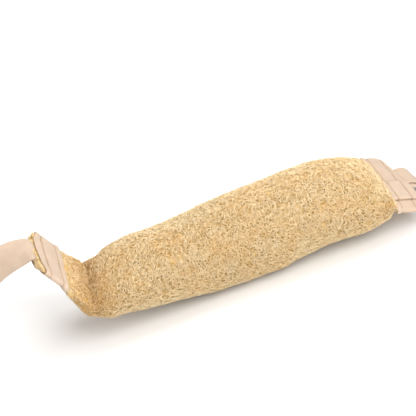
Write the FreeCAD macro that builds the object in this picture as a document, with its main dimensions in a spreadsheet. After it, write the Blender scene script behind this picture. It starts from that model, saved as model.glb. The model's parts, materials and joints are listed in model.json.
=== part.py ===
"""Loofah back scrubber: a dried luffa gourd crushed flat at both ends, with a webbing hand loop sewn into each end.

Millimetres and degrees. +X runs along the loofah from its left end to its right end and +Z is up. The origin is
on the surface that the loofah lies on, under the middle of its body.
"""

import FreeCAD, Part
import math
import os

from FreeCAD import Placement, Rotation, Vector

SIZES = {
    # The loofah's body. Its centre line is this high above what it lies on, so its round underside is a little flat.
    "axis_height": 36.4,
    "wall_thickness": 12,
    "core_gap": 0.3,
    "chamber_radius": 6.5,
    "chamber_offset": 9,
    # Elliptical sections from left to right: place along X, half width, half height, and rise off the centre line.
    "left_mouth_x": -117.5, "left_mouth_half_width": 35, "left_mouth_half_height": 8, "left_mouth_rise": 3,
    "left_heel_x": -106, "left_heel_half_width": 36.5, "left_heel_half_height": 16.5, "left_heel_rise": 2.1,
    "left_shoulder_x": -93, "left_shoulder_half_width": 36.5, "left_shoulder_half_height": 23.2,
    "left_shoulder_rise": 2,
    "left_quarter_x": -60, "left_quarter_half_width": 36, "left_quarter_half_height": 29.4, "left_quarter_rise": 0.5,
    "left_flank_x": -22, "left_flank_half_width": 36, "left_flank_half_height": 34.3, "left_flank_rise": -1.8,
    "belly_x": 30, "belly_half_width": 37.5, "belly_half_height": 36.8, "belly_rise": -1.2,
    "right_flank_x": 78, "right_flank_half_width": 38, "right_flank_half_height": 33, "right_flank_rise": 2.2,
    "right_heel_x": 108, "right_heel_half_width": 38.5, "right_heel_half_height": 30, "right_heel_rise": -1.2,
    "right_mouth_x": 123.4, "right_mouth_half_width": 37.8, "right_mouth_half_height": 21.5, "right_mouth_rise": -4.5,
    # Creases where the flattened ends hinge: place, turn about Z, roll, and the end's angle above the horizontal.
    "hinge_gap": 0.4,
    "left_crease_x": -122, "left_crease_rise": 3.5, "left_crease_turn": 171.4, "left_crease_roll": 0,
    "left_bend": 58, "left_root_radius": 9, "left_root_half_length": 29,
    "left_neck": 29, "left_end_half_width": 32.5,
    "right_crease_x": 122.9, "right_crease_rise": 0.2, "right_crease_turn": 6, "right_crease_roll": 6,
    "right_bend": -25, "right_root_radius": 9, "right_root_half_length": 34,
    "right_neck": 10, "right_end_half_width": 37.5,
    # The flattened ends, the band of webbing sewn round each, and the strap tails sewn inside.
    "end_root_half_thickness": 5.8,
    "end_half_thickness": 3.0,
    "raw_edge": 1.5,
    "band_width": 25,
    "webbing_thickness": 1.5,
    "layer_gap": 0.1,
    "fold_overlap": 22, "left_fold_inset": 22, "right_fold_inset": 16,
    "tail_depth": 24,
    # The straps. Each is sewn a little off the middle of its end, along the end's y.
    "strap_width": 25, "left_strap_offset": -6.5, "right_strap_offset": 8,
    "leg_gap": 0.2,
    "strap_hinge_gap": 1.9,
    "strap_root_radius": 1.65,
    "loop_end_radius": 15,
    "left_exit_radius": 4, "crest_radius": 48, "left_crest_heading": -4, "left_slope": -60,
    "parting_radius": 28, "landing_radius": 22, "left_loop_run": 57,
    "right_exit_run": 5, "right_exit_radius": 6, "right_slope": -65, "right_lying_run": 50,
    "right_climb": 32, "climb_radius": 38, "right_loop_run": 28,
    # The stitching: two rows across each end, on both faces.
    "stitch_pitch": 3.6,
    "stitch_length": 2.8,
    "stitch_width": 0.8,
    "stitch_height": 0.5,
    "stitch_clearance": 0.05,
    "stitch_reach": 30,
    "inner_row_inset": 5,
    "outer_row_inset": 19.5,
    # Tools that cut the sub-parts are larger than what they cut by these much.
    "crease_cutter_length": 120,
    "floor_cutter_length": 400, "floor_cutter_width": 200, "floor_cutter_depth": 50,
    "slot_overrun": 5,
    "window_height": 20, "window_margin": 1,
}
SECTIONS = [
    "left_mouth", "left_heel", "left_shoulder", "left_quarter", "left_flank", "belly",
    "right_flank", "right_heel", "right_mouth",
]
HOLLOW_SECTIONS = SECTIONS[3:-2]
CHAMBERS = 3
# Which edge of each end its band's fold lies near, along the end's y, and which face of the end it is on.
FOLD_EDGE = {"left": 1, "right": -1}
FOLD_FACE = {"left": -1, "right": 1}

doc = FreeCAD.newDocument("LoofahBackScrubber")
sheet = doc.addObject("Spreadsheet::Sheet", "Sizes")
for row, (alias, value) in enumerate(SIZES.items(), start=1):
    sheet.set(f"A{row}", alias)
    sheet.set(f"B{row}", str(value))
    sheet.setAlias(f"B{row}", alias)
doc.recompute()


def size(alias):
    """A driving dimension read back from the sheet."""
    return float(sheet.get(alias))


def bound(kind, name, **expressions):
    """A document object whose properties follow the sheet; __ in a key stands for a dot."""
    thing = doc.addObject(kind, name)
    for key, expression in expressions.items():
        thing.setExpression(key.replace("__", "."), expression)
    return thing


def boolean(kind, name, base, tool, placement=None):
    """A Part boolean of two objects, placed where the sub-part belongs."""
    thing = doc.addObject(kind, name)
    thing.Base = base
    thing.Tool = tool
    if placement:
        thing.Placement = placement
    return thing


ACROSS_BODY = Rotation(Vector(0, 1, 0), Vector(0, 0, 1), Vector(1, 0, 0), "XYZ")


def body_section(name, prefix, inset="0 mm"):
    """One elliptical section of the body, wider than it is high, inset for the inner surfaces."""
    ring = bound(
        "Part::Ellipse", f"{prefix}_{name}",
        MajorRadius=f"Sizes.{name}_half_width * 1 mm - {inset}",
        MinorRadius=f"Sizes.{name}_half_height * 1 mm - {inset}",
    )
    turn = 0.0
    if name == "left_mouth":
        turn = size("left_crease_turn") - 180
    if name == "right_mouth":
        turn = size("right_crease_turn")
    ring.Placement = Placement(Vector(0, 0, 0), Rotation(Vector(0, 0, 1), turn).multiply(ACROSS_BODY))
    ring.setExpression("Placement.Base.x", f"Sizes.{name}_x")
    ring.setExpression("Placement.Base.z", f"Sizes.axis_height + Sizes.{name}_rise")
    return ring


def body_loft(name, sections, inset="0 mm"):
    """A smooth solid through elliptical sections along the body."""
    loft = doc.addObject("Part::Loft", name)
    loft.Sections = [body_section(section, name, inset) for section in sections]
    loft.Solid = True
    loft.Ruled = False
    return loft


def level_place(side):
    """The level frame at a crease: its x points outward from the body."""
    base = Vector(size(f"{side}_crease_x"), 0, size("axis_height") + size(f"{side}_crease_rise"))
    return Placement(base, Rotation(Vector(0, 0, 1), size(f"{side}_crease_turn")))


def crease_place(side):
    """The frame of a crease: its x points outward and its y lies along the crease."""
    return level_place(side).multiply(Placement(Vector(), Rotation(Vector(1, 0, 0), size(f"{side}_crease_roll"))))


def end_place(side):
    """The frame of a flattened end: its x points outward along the end and its z is the end's upper face."""
    return crease_place(side).multiply(Placement(Vector(), Rotation(Vector(0, 1, 0), -size(f"{side}_bend"))))


def crease_cylinder(side, name, gap):
    """A cylinder about the crease, in the crease's own frame."""
    rod = bound(
        "Part::Cylinder", name, Radius=f"Sizes.{side}_root_radius + {gap}", Height="Sizes.crease_cutter_length"
    )
    half_length = size("crease_cutter_length") / 2
    rod.Placement = Placement(Vector(0, half_length, 0), Rotation(Vector(1, 0, 0), 90))
    return rod


def loofah_wall():
    """The gourd's outer wall of fibres, hollow inside, with a socket at each crease and a flat rest underneath."""
    outside = body_loft("wall_outside", SECTIONS)
    inside = body_loft("wall_inside", HOLLOW_SECTIONS, "Sizes.wall_thickness * 1 mm")
    shell = boolean("Part::Cut", "wall_shell", outside, inside)
    for side in ("left", "right"):
        socket = crease_cylinder(side, f"{side}_socket", "Sizes.hinge_gap")
        socket.Placement = crease_place(side).multiply(socket.Placement)
        shell = boolean("Part::Cut", f"wall_with_{side}_socket", shell, socket)
    floor = bound(
        "Part::Box", "below_the_rest",
        Length="Sizes.floor_cutter_length", Width="Sizes.floor_cutter_width", Height="Sizes.floor_cutter_depth",
        Placement__Base__x="-Sizes.floor_cutter_length / 2",
        Placement__Base__y="-Sizes.floor_cutter_width / 2",
        Placement__Base__z="-Sizes.floor_cutter_depth",
    )
    return boolean("Part::Cut", "loofah_wall", shell, floor)


def loofah_core():
    """The core of coarse fibres inside the wall, with three lengthwise seed chambers round its axis."""
    inset = "Sizes.wall_thickness * 1 mm - Sizes.core_gap * 1 mm"
    core = body_loft("core_outside", HOLLOW_SECTIONS, inset)
    for index in range(CHAMBERS):
        chamber = bound(
            "Part::Cylinder", f"seed_chamber_{index + 1}",
            Radius="Sizes.chamber_radius", Height="Sizes.right_heel_x - Sizes.left_shoulder_x",
        )
        angle = math.radians(90 + index * 360 / CHAMBERS)
        out = Vector(0, math.cos(angle), math.sin(angle)) * size("chamber_offset")
        start = Vector(size("left_shoulder_x"), 0, size("axis_height"))
        chamber.Placement = Placement(start + out, Rotation(Vector(0, 1, 0), 90))
        core = boolean("Part::Cut", f"core_with_chamber_{index + 1}", core, chamber)
    core.Label = "loofah_core"
    return core


def end_section(side, name, along, half_height):
    """An ellipse across a flattened end, at a distance along it from the crease."""
    ring = bound("Part::Ellipse", name, MajorRadius=f"Sizes.{side}_end_half_width", MinorRadius=half_height)
    ring.Placement.Rotation = ACROSS_BODY
    ring.setExpression("Placement.Base.x", along)
    return ring


def loofah_end(side):
    """A crushed end of the gourd: a round root in the body's socket, thinning to two flat walls with a slot."""
    length = f"Sizes.{side}_neck + Sizes.band_width + Sizes.raw_edge"
    flat = doc.addObject("Part::Loft", f"{side}_end_flat")
    flat.Sections = [
        end_section(side, f"{side}_end_at_crease", "0 mm", "Sizes.end_root_half_thickness"),
        end_section(side, f"{side}_end_at_band", f"Sizes.{side}_neck", "Sizes.end_half_thickness"),
        end_section(side, f"{side}_end_at_tip", length, "Sizes.end_half_thickness"),
    ]
    flat.Solid = True
    flat.Ruled = True
    root = crease_cylinder(side, f"{side}_root", "0")
    root.setExpression("Height", f"2 * Sizes.{side}_root_half_length")
    root.setExpression("Placement.Base.y", f"Sizes.{side}_root_half_length")
    solid = boolean("Part::Fuse", f"{side}_end_solid", flat, root)
    slot = bound(
        "Part::Box", f"{side}_tail_slot",
        Length="Sizes.tail_depth + Sizes.slot_overrun",
        Width="Sizes.strap_width + 2 * Sizes.layer_gap",
        Height="2 * Sizes.webbing_thickness + 3 * Sizes.layer_gap",
        Placement__Base__x=f"{length} - Sizes.tail_depth - Sizes.layer_gap",
        Placement__Base__y=f"Sizes.{side}_strap_offset - Sizes.strap_width / 2 - Sizes.layer_gap",
        Placement__Base__z="-Sizes.webbing_thickness - 1.5 * Sizes.layer_gap",
    )
    return boolean("Part::Cut", f"{side}_loofah_end", solid, slot, end_place(side))


def strap_tails(side):
    """The strap's two tails, one on the other, in the slot between the end's two walls."""
    tails = []
    tip = f"Sizes.{side}_neck + Sizes.band_width + Sizes.raw_edge"
    for name, base in (
        ("upper", "Sizes.layer_gap / 2"),
        ("lower", "-Sizes.webbing_thickness - Sizes.layer_gap / 2"),
    ):
        tails.append(bound(
            "Part::Box", f"{side}_{name}_tail",
            Length="Sizes.tail_depth", Width="Sizes.strap_width", Height="Sizes.webbing_thickness",
            Placement__Base__x=f"{tip} - Sizes.tail_depth",
            Placement__Base__y=f"Sizes.{side}_strap_offset - Sizes.strap_width / 2",
            Placement__Base__z=base,
        ))
    pair = doc.addObject("Part::Compound", f"{side}_strap_tails")
    pair.Links = tails
    pair.Placement = end_place(side)
    return pair


def sleeve(side, name, start, length, inner_gap):
    """A thin elliptical sleeve round a flattened end, one webbing thick."""
    shells = []
    for layer, extra in (("outer", f"Sizes.webbing_thickness + {inner_gap}"), ("inner", inner_gap)):
        ring = bound(
            "Part::Ellipse", f"{name}_{layer}_outline",
            MajorRadius=f"Sizes.{side}_end_half_width + {extra}",
            MinorRadius=f"Sizes.end_half_thickness + {extra}",
        )
        ring.Placement.Rotation = ACROSS_BODY
        ring.setExpression("Placement.Base.x", start)
        tube = doc.addObject("Part::Extrusion", f"{name}_{layer}")
        tube.Base = ring
        tube.DirMode = "Custom"
        tube.Dir = Vector(1, 0, 0)
        tube.setExpression("LengthFwd", length)
        tube.Solid = True
        shells.append(tube)
    return boolean("Part::Cut", name, shells[0], shells[1])


def fold_span(side):
    """Where the band's fold starts and ends across its end."""
    fold_edge = FOLD_EDGE[side] * (size(f"{side}_end_half_width") - size(f"{side}_fold_inset"))
    return fold_edge, fold_edge - FOLD_EDGE[side] * size("fold_overlap")


def band(side):
    """The webbing wrapped round a flattened end, with its folded end lapped over its start."""
    wrap = sleeve(side, f"{side}_wrap", f"Sizes.{side}_neck", "Sizes.band_width", "Sizes.layer_gap")
    lap = sleeve(
        side, f"{side}_second_layer", f"Sizes.{side}_neck", "Sizes.band_width",
        "(Sizes.webbing_thickness + Sizes.layer_gap)",
    )
    window = bound(
        "Part::Box", f"{side}_fold_window",
        Length="Sizes.band_width + 2 * Sizes.window_margin",
        Width="Sizes.fold_overlap", Height="Sizes.window_height",
        Placement__Base__x=f"Sizes.{side}_neck - Sizes.window_margin",
    )
    window.Placement.Base.y = min(fold_span(side))
    window.Placement.Base.z = min(0, FOLD_FACE[side] * size("window_height"))
    fold = boolean("Part::Common", f"{side}_fold", lap, window)
    return boolean("Part::Fuse", f"{side}_band", wrap, fold, end_place(side))


def stitch_row(side, row):
    """One row of lockstitch across a band: short thread bars on its upper and lower faces."""
    gap = size("stitch_clearance") + size("webbing_thickness") + size("layer_gap")
    half_width = size(f"{side}_end_half_width") + gap
    half_height = size("end_half_thickness") + gap
    lap = size("webbing_thickness")
    fold_low, fold_high = sorted(fold_span(side))
    along = size(f"{side}_neck") + size(f"{row}_row_inset")
    bars = []
    count = int(2 * size("stitch_reach") / size("stitch_pitch"))
    for face in (1, -1):
        for index in range(count):
            across = (index - (count - 1) / 2) * size("stitch_pitch")
            on_fold_face = face == FOLD_FACE[side]
            if on_fold_face and min(abs(across - fold_low), abs(across - fold_high)) < size("stitch_length"):
                continue
            extra = lap if on_fold_face and fold_low < across < fold_high else 0
            share = across / (half_width + extra)
            lift = (half_height + extra) * math.sqrt(1 - share * share)
            slope = math.atan2(-(half_height + extra) * share, (half_width + extra) * math.sqrt(1 - share * share))
            bar = Part.makeBox(size("stitch_width"), size("stitch_length"), size("stitch_height"))
            bar.translate(Vector(-size("stitch_width") / 2, -size("stitch_length") / 2, 0))
            if face < 0:
                bar.translate(Vector(0, 0, -size("stitch_height")))
            bar.rotate(Vector(0, 0, 0), Vector(1, 0, 0), face * math.degrees(slope))
            bar.translate(Vector(along, across, face * lift))
            bars.append(bar)
    thread = doc.addObject("Part::Feature", f"{side}_{row}_stitching")
    thread.Shape = Part.makeCompound(bars)
    thread.Placement = end_place(side)
    return thread


def heading_vector(heading):
    """Unit vector in the XZ plane at an angle above +X."""
    return Vector(math.cos(math.radians(heading)), 0, math.sin(math.radians(heading)))


def walk(start, heading, moves):
    """Follows moves in the XZ plane: ("run", length) or ("turn", radius, degrees). Lists every stop on the way."""
    stops = [(start, heading, None)]
    for move in moves:
        point, heading = stops[-1][:2]
        if move[0] == "run":
            stops.append((point + heading_vector(heading) * move[1], heading, None))
            continue
        radius, degrees = move[1:]
        centre = point + heading_vector(heading + math.copysign(90, degrees)) * radius
        spoke = heading_vector(heading + degrees - math.copysign(90, degrees)) * radius
        stops.append((centre + spoke, heading + degrees, (centre, degrees)))
    return stops


def edge_of_webbing(stops, offset):
    """The line beside a walked path, at an offset to its left, as edges in order."""
    edges = []
    for (point, heading, _), (end, end_heading, bend) in zip(stops, stops[1:]):
        first = point + heading_vector(heading + 90) * offset
        last = end + heading_vector(end_heading + 90) * offset
        if bend is None:
            edges.append(Part.LineSegment(first, last).toShape())
            continue
        centre, degrees = bend
        spoke = first - centre
        middle = Rotation(Vector(0, -1, 0), degrees / 2).multVec(spoke) + centre
        edges.append(Part.Arc(first, middle, last).toShape())
    return edges


def left_route(drop, back_run, back_rise):
    """The left webbing's route: up and over a crest, down a slope where its legs part, round the loop and back."""
    half = (size("webbing_thickness") + size("leg_gap")) / 2
    bend, crest, slope = size("left_bend"), size("left_crest_heading"), size("left_slope")
    return [
        ("turn", size("left_exit_radius") + half, crest - bend),
        ("turn", size("crest_radius") + half, slope - crest),
        ("run", drop),
        ("turn", size("parting_radius"), -slope),
        ("run", size("left_loop_run")),
        ("turn", size("loop_end_radius"), -180),
        ("run", back_run),
        ("turn", size("landing_radius"), slope),
        ("run", back_rise),
        ("turn", size("crest_radius") - half, crest - slope),
        ("turn", size("left_exit_radius") - half, bend - crest),
    ]


def right_route(drop, climb_run, back_run, back_rise):
    """The right webbing's route: on and steeply down, double along the surface, then round a loop and back."""
    half = (size("webbing_thickness") + size("leg_gap")) / 2
    bend, slope, climb = size("right_bend"), size("right_slope"), size("right_climb")
    return [
        ("run", size("right_exit_run")),
        ("turn", size("right_exit_radius") + half, slope - bend),
        ("run", drop),
        ("turn", size("right_exit_radius") - half, -slope),
        ("run", size("right_lying_run")),
        ("turn", size("climb_radius"), climb),
        ("run", climb_run),
        ("turn", size("climb_radius"), -climb),
        ("run", size("right_loop_run")),
        ("turn", size("loop_end_radius"), -180),
        ("run", back_run),
        ("turn", size("right_exit_radius") + half, slope),
        ("run", back_rise),
        ("turn", size("right_exit_radius") - half, bend - slope),
        ("run", size("right_exit_run")),
    ]


def closed_route(side, start, finish, rest):
    """The route whose free runs lay the loop on the surface and bring the webbing back beside its start."""
    bend, slope = size(f"{side}_bend"), math.radians(size(f"{side}_slope"))
    stacked = rest + size("webbing_thickness") + size("leg_gap")
    if side == "left":
        far_end = walk(start, bend, left_route(0, 0, 0))[6][0]
        known = [(rest - far_end.z) / math.sin(slope)]
        route = left_route
    else:
        landing = walk(start, bend, right_route(0, 0, 0, 0))[4][0]
        drop = (stacked - landing.z) / math.sin(slope)
        far_end = walk(start, bend, right_route(drop, 0, 0, 0))[10][0]
        known = [drop, (rest - far_end.z) / math.sin(math.radians(size("right_climb")))]
        route = right_route
    miss = finish - walk(start, bend, route(*known, 0, 0))[-1][0]
    back_rise = -miss.z / math.sin(slope)
    back_run = -miss.x - back_rise * math.cos(slope)
    return route(*known, back_run, back_rise)


def strap(side):
    """The hand loop: one length of webbing that leaves the end double, comes down and opens into a loop.

    Its root is rounded about the line that it swings on.
    """
    half = (size("webbing_thickness") + size("leg_gap")) / 2
    bend = size(f"{side}_bend")
    reach = size(f"{side}_neck") + size("band_width") + size("raw_edge") + size("strap_hinge_gap")
    to_level = level_place(side).inverse().multiply(end_place(side))
    root = to_level.multVec(Vector(reach, size(f"{side}_strap_offset"), 0))
    middle = Vector(root.x, 0, root.z)
    start = middle + heading_vector(bend + 90) * half
    finish = middle - heading_vector(bend + 90) * half
    rest = size("webbing_thickness") / 2 - size("axis_height") - size(f"{side}_crease_rise")
    moves = closed_route(side, start, finish, rest)
    length = sum(m[1] if m[0] == "run" else m[1] * math.radians(abs(m[2])) for m in moves)
    print(f"{side} strap: {length:.0f} mm of webbing outside the end; runs",
          [round(m[1], 1) for m in moves if m[0] == "run"])

    stops = walk(start, bend, moves)
    upper = edge_of_webbing(stops, size("webbing_thickness") / 2)
    lower = edge_of_webbing(stops, -size("webbing_thickness") / 2)
    caps = [
        Part.LineSegment(upper[0].Vertexes[0].Point, lower[0].Vertexes[0].Point).toShape(),
        Part.LineSegment(upper[-1].Vertexes[-1].Point, lower[-1].Vertexes[-1].Point).toShape(),
    ]
    outline = Part.Wire(Part.__sortEdges__(upper + lower + caps))
    ribbon = Part.Face(outline).extrude(Vector(0, size("strap_width"), 0))
    ribbon.translate(Vector(0, root.y - size("strap_width") / 2, 0))
    hinge_end = root - Vector(0, size("strap_width"), 0)
    ribbon = ribbon.cut(Part.makeCylinder(
        size("strap_root_radius"), 2 * size("strap_width"), hinge_end, Vector(0, 1, 0)
    ))
    loop = doc.addObject("Part::Feature", f"{side}_strap_loop")
    loop.Shape = ribbon
    loop.Placement = level_place(side)
    return loop


def build():
    """Every sub-part of the scrubber."""
    made = [loofah_wall(), loofah_core()]
    for side in ("left", "right"):
        made += [loofah_end(side), band(side), strap_tails(side), strap(side)]
        made += [stitch_row(side, row) for row in ("inner", "outer")]
    return made


subparts = build()
doc.recompute()
for thing in doc.Objects:
    if "Invalid" in thing.State or "Error" in thing.State:
        raise RuntimeError(f"{thing.Label} did not recompute: {thing.State}")
for part in subparts:
    if part.Shape.isNull() or not part.Shape.isValid():
        raise RuntimeError(f"{part.Label} has no valid shape")

os.makedirs("parts", exist_ok=True)
for part in subparts:
    part.Shape.exportStep(os.path.join("parts", f"{part.Label}.step"))
    box = part.Shape.BoundBox
    print(f"{part.Label}: {len(part.Shape.Solids)} solids, {part.Shape.Volume / 1000:.2f} cm3, "
          f"X {box.XMin:.1f}..{box.XMax:.1f} Y {box.YMin:.1f}..{box.YMax:.1f} Z {box.ZMin:.1f}..{box.ZMax:.1f}")
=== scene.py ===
"""Looks of the loofah back scrubber: the gourd's fibre net, its webbing bands, thread and hand loops.

Lengths are in millimetres, and make_piece turns them into metres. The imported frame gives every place.
"""

import json
import math

import bpy
import numpy as np
from mathutils import Matrix, Vector, noise
from mathutils.bvhtree import BVHTree
from mathutils.kdtree import KDTree


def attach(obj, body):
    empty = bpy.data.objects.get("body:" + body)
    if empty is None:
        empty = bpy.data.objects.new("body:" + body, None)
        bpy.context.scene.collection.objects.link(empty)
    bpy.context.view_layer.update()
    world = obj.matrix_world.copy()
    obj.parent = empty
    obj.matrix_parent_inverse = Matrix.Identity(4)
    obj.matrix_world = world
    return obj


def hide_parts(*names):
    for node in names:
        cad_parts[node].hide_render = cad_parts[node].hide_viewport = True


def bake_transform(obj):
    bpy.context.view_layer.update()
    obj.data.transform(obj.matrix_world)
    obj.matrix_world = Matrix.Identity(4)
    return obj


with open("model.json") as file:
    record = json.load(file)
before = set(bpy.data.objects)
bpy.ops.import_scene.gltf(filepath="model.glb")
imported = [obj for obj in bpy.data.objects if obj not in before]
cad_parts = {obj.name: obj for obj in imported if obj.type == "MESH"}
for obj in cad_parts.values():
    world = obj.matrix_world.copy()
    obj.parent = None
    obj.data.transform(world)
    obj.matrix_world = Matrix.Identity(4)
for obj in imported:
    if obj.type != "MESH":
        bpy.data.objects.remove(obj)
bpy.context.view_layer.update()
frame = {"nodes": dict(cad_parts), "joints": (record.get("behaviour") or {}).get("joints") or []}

MM = 0.001
UP = np.array((0, 0, 1.0))
FAR = 400.0
SIDES = ("left", "right")
JOINTS = {joint["name"]: joint for joint in frame["joints"]}
random = np.random.default_rng(416)

# The gourd.
RING_SPACING = 1.5
RING_POINTS = 156
RING_SMOOTHINGS = 3
SKIN_DEPTH = 1.3
WALL = 10.0
SLOT_HALF_WIDTH = {"left": 13.6, "right": 17.0}
SLOT_HALF_HEIGHT = 1.4
# How far off the surface that it lies on the skin stays, and everything else.
REST_GAP = 0.3
FLOOR_GAP = 0.05
PORES = 4600
PORE_RADIUS = 1.3
# How far strands are pushed off a pore, as a share of how far they reach into it.
PORE_PUSH = 0.85
STRAND_POINTS = 5
TONE_SPREAD = 0.17
STRAY_FIBRES = 2600
CORE_VOXEL = 1.6
# The frayed ends: how many there are, and where the left end's tuft is, how wide and how long.
RAW_FIBRES = 1000
TUFT_PLACE = -21
TUFT_SPREAD = 6.5
TUFT_REACH = 3.2
# How squarely the flattened ends and the folds are rounded: 2 is an ellipse.
END_SQUARENESS = 3.2
FOLD_SQUARENESS = 2.15

# The webbing.
STRAP_THICKNESS = 1.2
BAND_THICKNESS = 1.15
BAND_EASE = 1.0
LEG_HALF_GAP = 0.7
STITCH_ROWS = {
    "left": {"inner": 5.6, "outer": 19.5},
    "right": {"inner": 5.0, "outer": 17.6},
}
STITCH_PITCH = 3.4
STITCH_LENGTH = 2.7
FOLD_INSET = {"left": 22.0, "right": 12.5}
# How much further out each band is drawn than its plain stand-in.
BAND_SHIFT = {"left": 0.0, "right": 2.2}
FOLD_OVERLAP = 22.0
TURNED_UNDER = 7.0
# How high the lap rides, and how far round the band it climbs to there, in millimetres.
LAP_LIFT = 2.05 * BAND_THICKNESS
LAP_CLIMB = 7.0
FOLD_RADIUS = 0.52 * BAND_THICKNESS
WARP_PITCH = 0.9
WEFT_PITCH = 0.7
# The grooves that the stitches pull into the webbing, and the hem that stands up beside the inner one.
GROOVE_DEPTH = 0.5
GROOVE_RIPPLE = 0.14
GROOVE_WIDTH = 0.9
# How wide the painted shade along each stitch row is.
GROOVE_SHADE_WIDTH = 0.75
HEM_PLACE = 1.6
HEM_WIDTH = 2.2
HEM_LIFT = 0.6
THREAD_RADIUS = 0.36
THREAD_SINK = 0.16


def unit(vectors):
    """Vectors of length one."""
    vectors = np.asarray(vectors, float)
    return vectors / np.linalg.norm(vectors, axis=-1, keepdims=True)


def mesh_points(mesh):
    """A mesh's points, in millimetres."""
    points = np.zeros(3 * len(mesh.vertices), np.float32)
    mesh.vertices.foreach_get("co", points)
    return points.reshape(-1, 3).astype(float) / MM


def set_points(mesh, points):
    """Moves a mesh's points to places in millimetres."""
    mesh.vertices.foreach_set("co", (np.asarray(points) * MM).astype(np.float32).ravel())


def linked(name, data):
    """A new object in the scene."""
    made = bpy.data.objects.new(name, data)
    bpy.context.scene.collection.objects.link(made)
    return made


def make_piece(name, points, faces, material):
    """A mesh piece from points in millimetres and arrays of faces with three or four corners each."""
    mesh = bpy.data.meshes.new(name)
    corners = np.concatenate([group.ravel() for group in faces]).astype(np.int32)
    sizes = np.concatenate([np.full(len(group), group.shape[1]) for group in faces])
    starts = np.concatenate([[0], np.cumsum(sizes)[:-1]]).astype(np.int32)
    mesh.vertices.add(len(points))
    set_points(mesh, points)
    mesh.loops.add(len(corners))
    mesh.loops.foreach_set("vertex_index", corners)
    mesh.polygons.add(len(sizes))
    mesh.polygons.foreach_set("loop_start", starts)
    mesh.polygons.foreach_set("use_smooth", np.ones(len(sizes), bool))
    mesh.update(calc_edges=True)
    mesh.validate()
    mesh.materials.append(material)
    piece = linked(name, mesh)
    return piece


def add_attribute(piece, name, values):
    """A number for each point, or a vector for each point, that the materials read."""
    values = np.asarray(values, np.float32)
    if values.ndim == 1:
        piece.data.attributes.new(name, "FLOAT", "POINT").data.foreach_set("value", values)
    else:
        piece.data.attributes.new(name, "FLOAT_VECTOR", "POINT").data.foreach_set("vector", values.ravel())


def grid_faces(rows, columns):
    """The quads of a grid of points whose last column meets its first."""
    row, column = np.meshgrid(np.arange(rows - 1), np.arange(columns), indexing="ij")
    start, following = row * columns + column, row * columns + (column + 1) % columns
    return np.stack([start, following, following + columns, start + columns], -1).reshape(-1, 4)


def smooth_through(places, values, samples):
    """Values at the sample places on smooth curves through the given ones, with no overshoot."""
    places, values = np.asarray(places, float), np.asarray(values, float)
    gaps = np.diff(places)[:, None]
    secants = np.diff(values, axis=0) / gaps
    before, after = secants[:-1], secants[1:]
    same = before * after > 0
    total = np.where(same, before + after, 1.0)
    slopes = np.vstack([secants[:1], np.where(same, 2 * before * after / total, 0.0), secants[-1:]])
    index = np.clip(np.searchsorted(places, samples, side="right") - 1, 0, len(places) - 2)
    share = ((samples - places[index]) / gaps[index, 0])[:, None]
    span = gaps[index]
    return (
        values[index] * (2 * share**3 - 3 * share**2 + 1)
        + slopes[index] * span * (share**3 - 2 * share**2 + share)
        + values[index + 1] * (3 * share**2 - 2 * share**3)
        + slopes[index + 1] * span * (share**3 - share**2)
    )


def lengths_along(points):
    """How far along a line each of its points is."""
    return np.concatenate([[0], np.cumsum(np.linalg.norm(np.diff(points, axis=0), axis=1))])


def squared(values, power):
    """Sines or cosines pushed out for a squarer outline."""
    return np.sign(values) * np.abs(values) ** power


def even_spline(points, spacing):
    """Evenly spaced samples of a smooth curve through rows of numbers whose first three are a place."""
    points = np.asarray(points, float)
    padded = np.vstack([2 * points[0] - points[1], points, 2 * points[-1] - points[-2]])
    share = np.linspace(0, 1, 24, endpoint=False)[:, None]
    pieces = []
    for a, b, c, d in zip(padded, padded[1:], padded[2:], padded[3:]):
        pieces.append(
            b + 0.5 * share * (c - a)
            + share**2 * (a - 2.5 * b + 2 * c - 0.5 * d)
            + share**3 * (1.5 * b - 0.5 * a - 1.5 * c + 0.5 * d)
        )
    fine = np.vstack(pieces + [points[-1:]])
    along = lengths_along(fine[:, :3])
    wanted = np.linspace(0, along[-1], int(along[-1] / spacing) + 1)
    return np.stack([np.interp(wanted, along, column) for column in fine.T], 1)


# Where the frame puts things -------------------------------


def end_frame(side):
    """A flattened end: its crease, its strap's root, its directions, and where its band and tip are."""
    crease = np.array(JOINTS[f"{side}_end_bend"]["pos_m"]) / MM
    root = np.array(JOINTS[f"{side}_strap_swing"]["pos_m"]) / MM
    across = unit(JOINTS[f"{side}_end_bend"]["axis"])
    outward = unit(root - crease - (root - crease) @ across * across)
    upward = np.cross(outward, across)
    if upward[2] < 0:
        across, upward = -across, -upward
    band = mesh_points(frame["nodes"][f"{side}_band"].data) - crease
    tab = mesh_points(frame["nodes"][f"{side}_loofah_end"].data) - crease
    level = unit(np.cross(JOINTS[f"{side}_strap_swing"]["axis"], UP))
    level = level * np.sign(level @ outward)
    far = across if across[1] > 0 else -across
    shift = BAND_SHIFT[side]
    return {
        "crease": crease,
        "root": root,
        "outward": outward,
        "across": across,
        "upward": upward,
        "level": level,
        "level_across": np.cross(UP, level),
        "strap_offset": (root - crease) @ far,
        "neck": (band @ outward).min() + shift,
        "tip": (tab @ outward).max() + shift,
        "half_width": np.ptp(tab @ across) / 2,
        "band_width": np.ptp(band @ outward),
        "band_half_width": np.ptp(band @ across) / 2,
        "band_half_height": min(-(band @ upward).min(), (band @ upward).max()),
    }


ENDS = {side: end_frame(side) for side in SIDES}


def wall_section(tree, x):
    """A section row of the body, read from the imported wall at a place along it."""
    def hit(origin, direction):
        return np.array(tree.ray_cast(Vector(origin) * MM, Vector(direction))[0]) / MM
    top = hit((x, 0, FAR), (0, 0, -1))[2]
    bottom = hit((x, 0, -FAR), (0, 0, 1))[2]
    middle = (top + bottom) / 2
    half_width = (hit((x, FAR, middle), (0, -1, 0))[1] - hit((x, -FAR, middle), (0, 1, 0))[1]) / 2
    return section((x, 0, middle), (0, 1, 0), (0, 0, 1), half_width, (top - bottom) / 2)


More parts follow.
